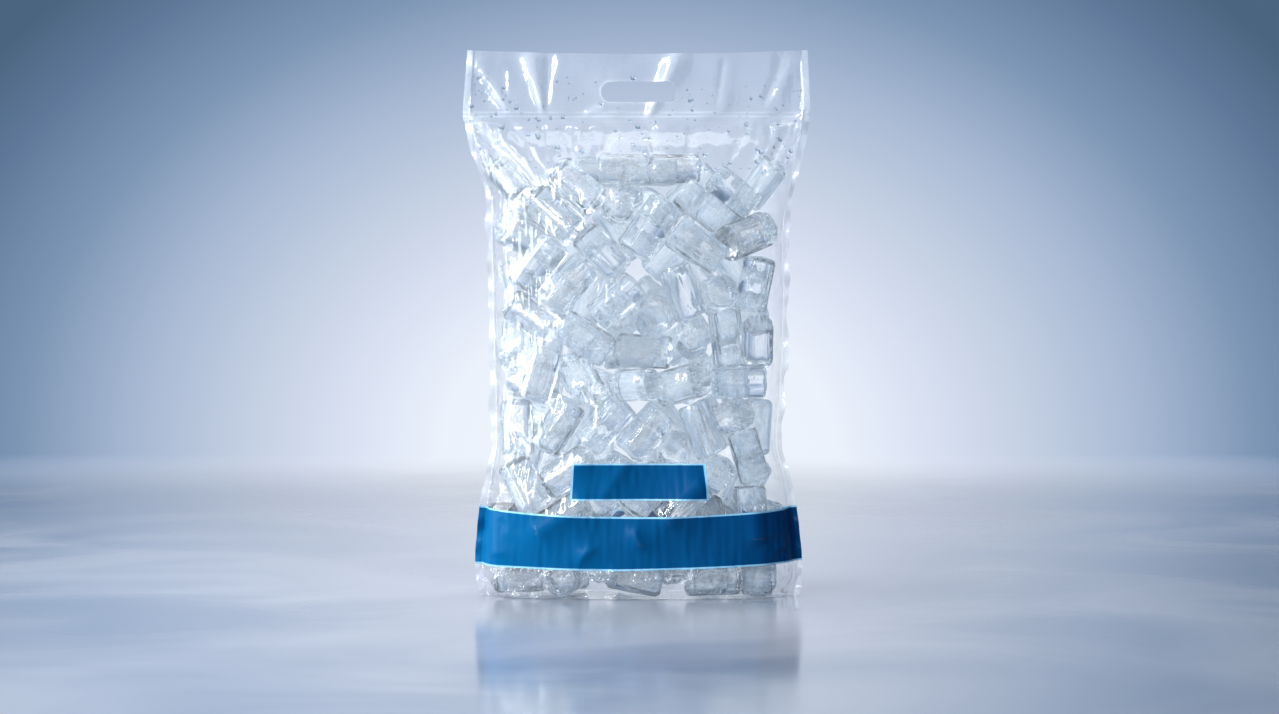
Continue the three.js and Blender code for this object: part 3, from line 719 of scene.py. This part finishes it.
def drops(skin, count, low, high, side):
    """Lens-shaped drops on the skin. Each is a ball flattened to two fifths along the skin's normal.

    Half of it stands out of the film, and its radius is from a skewed spread, so that most are small.
    """
    d_row = np.gradient(skin, axis=0)
    d_column = np.gradient(skin, axis=1)
    normal = np.cross(d_row, d_column)
    normal = normal / np.maximum(np.linalg.norm(normal, axis=2, keepdims=True), 1e-9)
    rows = np.searchsorted(rise, random.uniform(low, high, count * 2))
    columns = random.integers(fin_columns + 3, COLUMNS - fin_columns - 3, count * 2)
    on_film = np.flatnonzero(slot_distance(skin[rows, columns, 0], skin[rows, columns, 2])[0] > 0.004)[:count]
    rows, columns = rows[on_film], columns[on_film]
    size = 0.0007 + 0.0024 * random.random(count) ** 3.5
    rings, around = 9, 14
    lift = np.linspace(-1, 1, rings + 2)[1:-1] * math.pi / 2
    turn = np.arange(around) / around * 2 * math.pi
    level = np.cos(lift)[:, None]
    ball = np.stack(np.broadcast_arrays(level * np.cos(turn), level * np.sin(turn), np.sin(lift)[:, None]), -1)
    ball = np.concatenate([ball.reshape(-1, 3), [[0, 0, -1], [0, 0, 1]]])
    up = normal[rows, columns] * side
    along = np.cross(up, [0.0, 0.1, 1.0])
    along = along / np.linalg.norm(along, axis=1, keepdims=True)
    down = np.cross(up, along)
    stretch = random.uniform(0.9, 1.35, count)
    points = (skin[rows, columns] + up * 0.0001)[:, None] + size[:, None, None] * (
        ball[None, :, :1] * along[:, None]
        + stretch[:, None, None] * ball[None, :, 1:2] * down[:, None]
        + 0.4 * ball[None, :, 2:] * up[:, None]
    )
    quads, caps = capsule_faces(rings, around)
    offsets = (np.arange(count) * len(ball))[:, None, None]
    return points.reshape(-1, 3), [(quads[None] + offsets).reshape(-1, 4), (caps[None] + offsets).reshape(-1, 3)]


points, faces = drops(skins["film_front"], 240, 0.420, 0.520, -1)
made = add_mesh("water_drops", points, faces, water)
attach(made, "root")


# ---------------------------------------------------------------- the studio

# Behind the bag hangs a translucent sheet lit from behind, brightest low in the middle. The table runs up to it, and
# over the last 1.7 metres it gives off the sheet's glow itself, a painted glow.

BACK = 2.9  # how far back the sheet hangs
ONE_FACE = np.array([[0, 1, 2, 3]])


def glow_of(made, scale):
    """Backlight coloured by distance from the sheet's bright spot, with the place first multiplied by scale."""
    place = node(made, "TexCoord").outputs["Object"]
    centred = node(made, "Mapping", {"Vector": place}, scale=scale).outputs["Vector"]
    far = node(made, "VectorMath", {0: centred}, operation="LENGTH").outputs["Value"]
    glow = node(made, "ValToRGB", {"Fac": far})
    ramp = glow.color_ramp
    ramp.elements[0].color = linear("#eff6fe")
    ramp.elements[1].color = linear("#4b6580")
    near = ((0.24, "#ebf2fc"), (0.32, "#dfe6f6"), (0.46, "#c7d2e5"))
    away = ((0.61, "#a9bad4"), (0.76, "#7d96b5"), (0.90, "#5f7899"))
    for spot, colour in near + away:
        ramp.elements.new(spot).color = linear(colour)
    return node(made, "Emission", {"Color": glow.outputs["Color"]}, strength=1.0).outputs[0]


backdrop_finish, out = material("backlit backdrop")
backdrop_finish.node_tree.links.new(glow_of(backdrop_finish, (0.5, 0, 0.632)), out.inputs["Surface"])
corners = [[-3.2, BACK, -0.3], [3.2, BACK, -0.3], [3.2, BACK, 3.0], [-3.2, BACK, 3.0]]
backdrop = add_mesh("backdrop", corners, [ONE_FACE], backdrop_finish)

# The table top is pale polished stone with soft grey veins.
floor_finish, out = material("pale polished stone")
where = node(floor_finish, "TexCoord").outputs["Object"]
veins = node(
    floor_finish, "TexNoise", {"Vector": where}, scale=3.0, detail=3.0, roughness=0.4, distortion=0.9
).outputs["Fac"]
shade = node(floor_finish, "ValToRGB", {"Fac": veins})
shade.color_ramp.elements[0].position = 0.34
shade.color_ramp.elements[0].color = linear("#808a99")
shade.color_ramp.elements[1].position = 0.64
shade.color_ramp.elements[1].color = linear("#a0a4ad")
polish = node(floor_finish, "MapRange", {"Value": veins}, from_min=0.3, from_max=0.7, to_min=0.10, to_max=0.2)
surface = {"Base Color": shade.outputs["Color"], "Roughness": polish.outputs["Result"]}
stone = node(floor_finish, "BsdfPrincipled", surface, ior=1.45).outputs[0]
# Painted glow: towards the sheet the stone gives way to the sheet's light, emitted by the table itself.
depth = node(floor_finish, "SeparateXYZ", {"Vector": where}).outputs["Y"]
far = node(
    floor_finish, "MapRange", {"Value": depth}, interpolation_type="SMOOTHSTEP", from_min=1.2, from_max=BACK
).outputs["Result"]
top = node(floor_finish, "MixShader", {0: far, 1: stone, 2: glow_of(floor_finish, (0.5, 0, 0))}).outputs[0]
floor_finish.node_tree.links.new(top, out.inputs["Surface"])
floor = add_mesh("floor", [[-3, -2.5, 0], [3, -2.5, 0], [3, BACK, 0], [-3, BACK, 0]], [ONE_FACE], floor_finish)

# A grey card to the right of the bag keeps the light off that side.
card_finish, out = material("grey card")
where = node(card_finish, "TexCoord").outputs["Object"]
mottle = node(card_finish, "TexNoise", {"Vector": where}, scale=40.0, detail=4.0).outputs["Fac"]
grey = node(card_finish, "ValToRGB", {"Fac": mottle})
grey.color_ramp.elements[0].color = linear("#263240")
grey.color_ramp.elements[1].color = linear("#303e4c")
card_shader = node(card_finish, "BsdfPrincipled", {"Base Color": grey.outputs["Color"]}, roughness=0.9)
card_finish.node_tree.links.new(card_shader.outputs[0], out.inputs["Surface"])
corners = [[0.42, -0.95, 0.02], [0.86, 0.55, 0.02], [0.86, 0.55, 1.1], [0.42, -0.95, 1.1]]
card = add_mesh("card", corners, [ONE_FACE], card_finish)

world = bpy.data.worlds.new("studio")
bpy.context.scene.world = world
world.use_nodes = True
world.node_tree.nodes["Background"].inputs["Color"].default_value = (0.80, 0.87, 0.97, 1)
world.node_tree.nodes["Background"].inputs["Strength"].default_value = 0.76


def softbox(name, place, aim, wide, tall, power, colour="#ffffff"):
    """A rectangular area light facing a point."""
    light = bpy.data.lights.new(name, "AREA")
    light.shape = "RECTANGLE"
    light.energy = power
    light.size = wide
    light.size_y = tall
    light.color = linear(colour)[:3]
    holder = bpy.data.objects.new(name, light)
    bpy.context.scene.collection.objects.link(holder)
    holder.location = place
    holder.rotation_euler = (Vector(aim) - Vector(place)).to_track_quat("-Z", "Y").to_euler()
    return holder


softbox("top", (0, 0.2, 1.9), (0, 0, 0.3), 1.8, 1.2, 20, "#f8faff")
softbox("left", (-1.7, -0.5, 0.8), (0, 0, 0.25), 1.2, 1.6, 48, "#f8fbff")
softbox("strip at the front left", (-1.1, -1.6, 0.95), (0, 0, 0.28), 0.16, 1.3, 26, "#fbfdff")
softbox("strip at the front right", (1.25, -1.5, 0.8), (0, 0, 0.28), 0.12, 1.0, 5, "#f8fbff")

camera = bpy.data.objects.new("camera", bpy.data.cameras.new("camera"))
bpy.context.scene.collection.objects.link(camera)
camera.location = (0.003, -2.0, 0.238)
camera.rotation_euler = (math.pi / 2, 0, 0)
camera.data.lens = 56.3
camera.data.sensor_width = 36
bpy.context.scene.camera = camera
bpy.context.scene.view_settings.view_transform = "Standard"
bpy.context.scene.cycles.max_bounces = 12
bpy.context.scene.cycles.glossy_bounces = 4
bpy.context.scene.cycles.diffuse_bounces = 3
bpy.context.scene.cycles.transmission_bounces = 12
bpy.context.scene.cycles.transparent_max_bounces = 40
bpy.context.scene.cycles.caustics_reflective = False
bpy.context.scene.cycles.caustics_refractive = False
